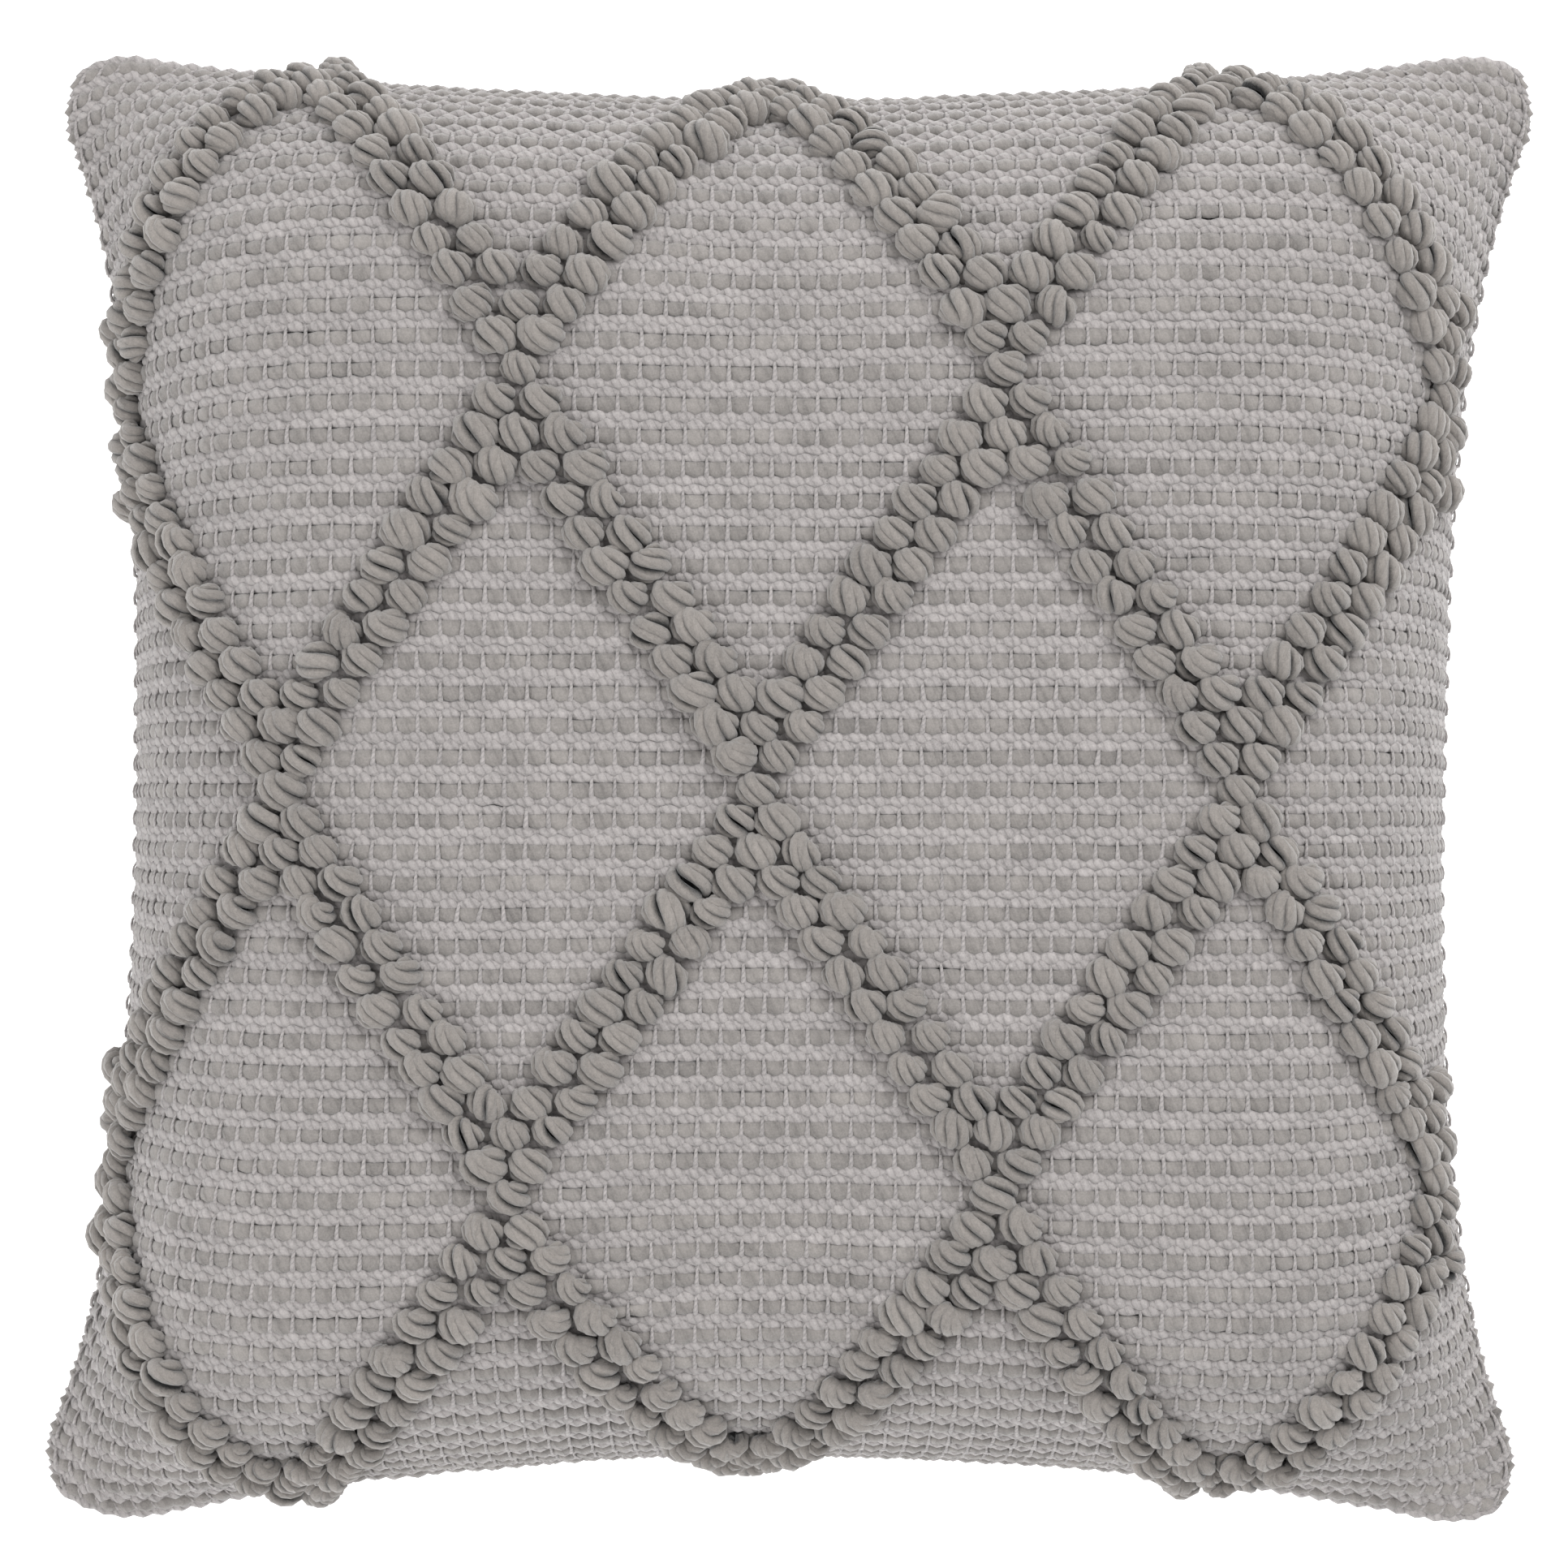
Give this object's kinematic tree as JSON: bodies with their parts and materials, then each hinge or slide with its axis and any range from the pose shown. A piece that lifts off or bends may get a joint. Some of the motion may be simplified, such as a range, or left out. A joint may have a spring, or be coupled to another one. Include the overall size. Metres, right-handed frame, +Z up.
{
  "type": "throw pillow",
  "caption": "Square knife-edge throw pillow with a coarse woven face, a raised looped trellis, a plain back and a zipped cover over a fibre-filled insert.",
  "frame": {"origin": "middle of the resting plane under the pillow's back, centred in plan", "axes": "+Z up through the face, +Y to the top edge of the face, +X to its right edge"},
  "size_m": [0.4679, 0.462, 0.1586],
  "materials": {
    "woven_cloth": "coarse weave of a thick cord and thin light wefts",
    "back_cloth": "plain cotton weave",
    "loop_yarn": "soft plied yarn",
    "thread": "sewing thread",
    "zip_tape": "woven tape",
    "resin": "moulded teeth",
    "zip_metal": "satin lacquer",
    "insert_cloth": "plain white cotton",
    "fibre": "polyester fibre"
  },
  "bodies": {
    "cover": {"front_panel": "woven_cloth", "back_panel": "back_cloth", "seam_allowance": "back_cloth", "seam_thread": "thread", "loop_line_1": "loop_yarn", "loop_line_2": "loop_yarn", "loop_line_3": "loop_yarn", "loop_line_4": "loop_yarn", "loop_line_5": "loop_yarn", "loop_line_6": "loop_yarn", "loop_line_7": "loop_yarn", "loop_line_8": "loop_yarn", "zip_tape_upper": "zip_tape", "zip_tape_lower": "zip_tape", "zip_teeth_upper": "resin", "zip_teeth_lower": "resin", "zip_top_stops": "zip_metal", "zip_bottom_stop": "zip_metal", "zip_stitches": "thread", "insert_cover_front": "insert_cloth", "insert_cover_back": "insert_cloth", "insert_thread": "thread", "fibre_fill": "fibre"},
    "slider": {"slider_body": "zip_metal"},
    "pull": {"slider_pull": "zip_metal"}
  },
  "joints": [
    {"name": "zipper_travel", "type": "hinge", "parent": "cover", "child": "slider", "pos_m": [-0.0029, -1.80353, 0.0518], "axis": [0, 0, 1], "range_deg": [0, 11.2]},
    {"name": "pull_swing", "type": "hinge", "parent": "slider", "child": "pull", "pos_m": [0.1545, -0.21471, 0.05096], "axis": [-0.0235, -0.2368, 0.9713], "range_deg": [0, 165]}
  ]
}
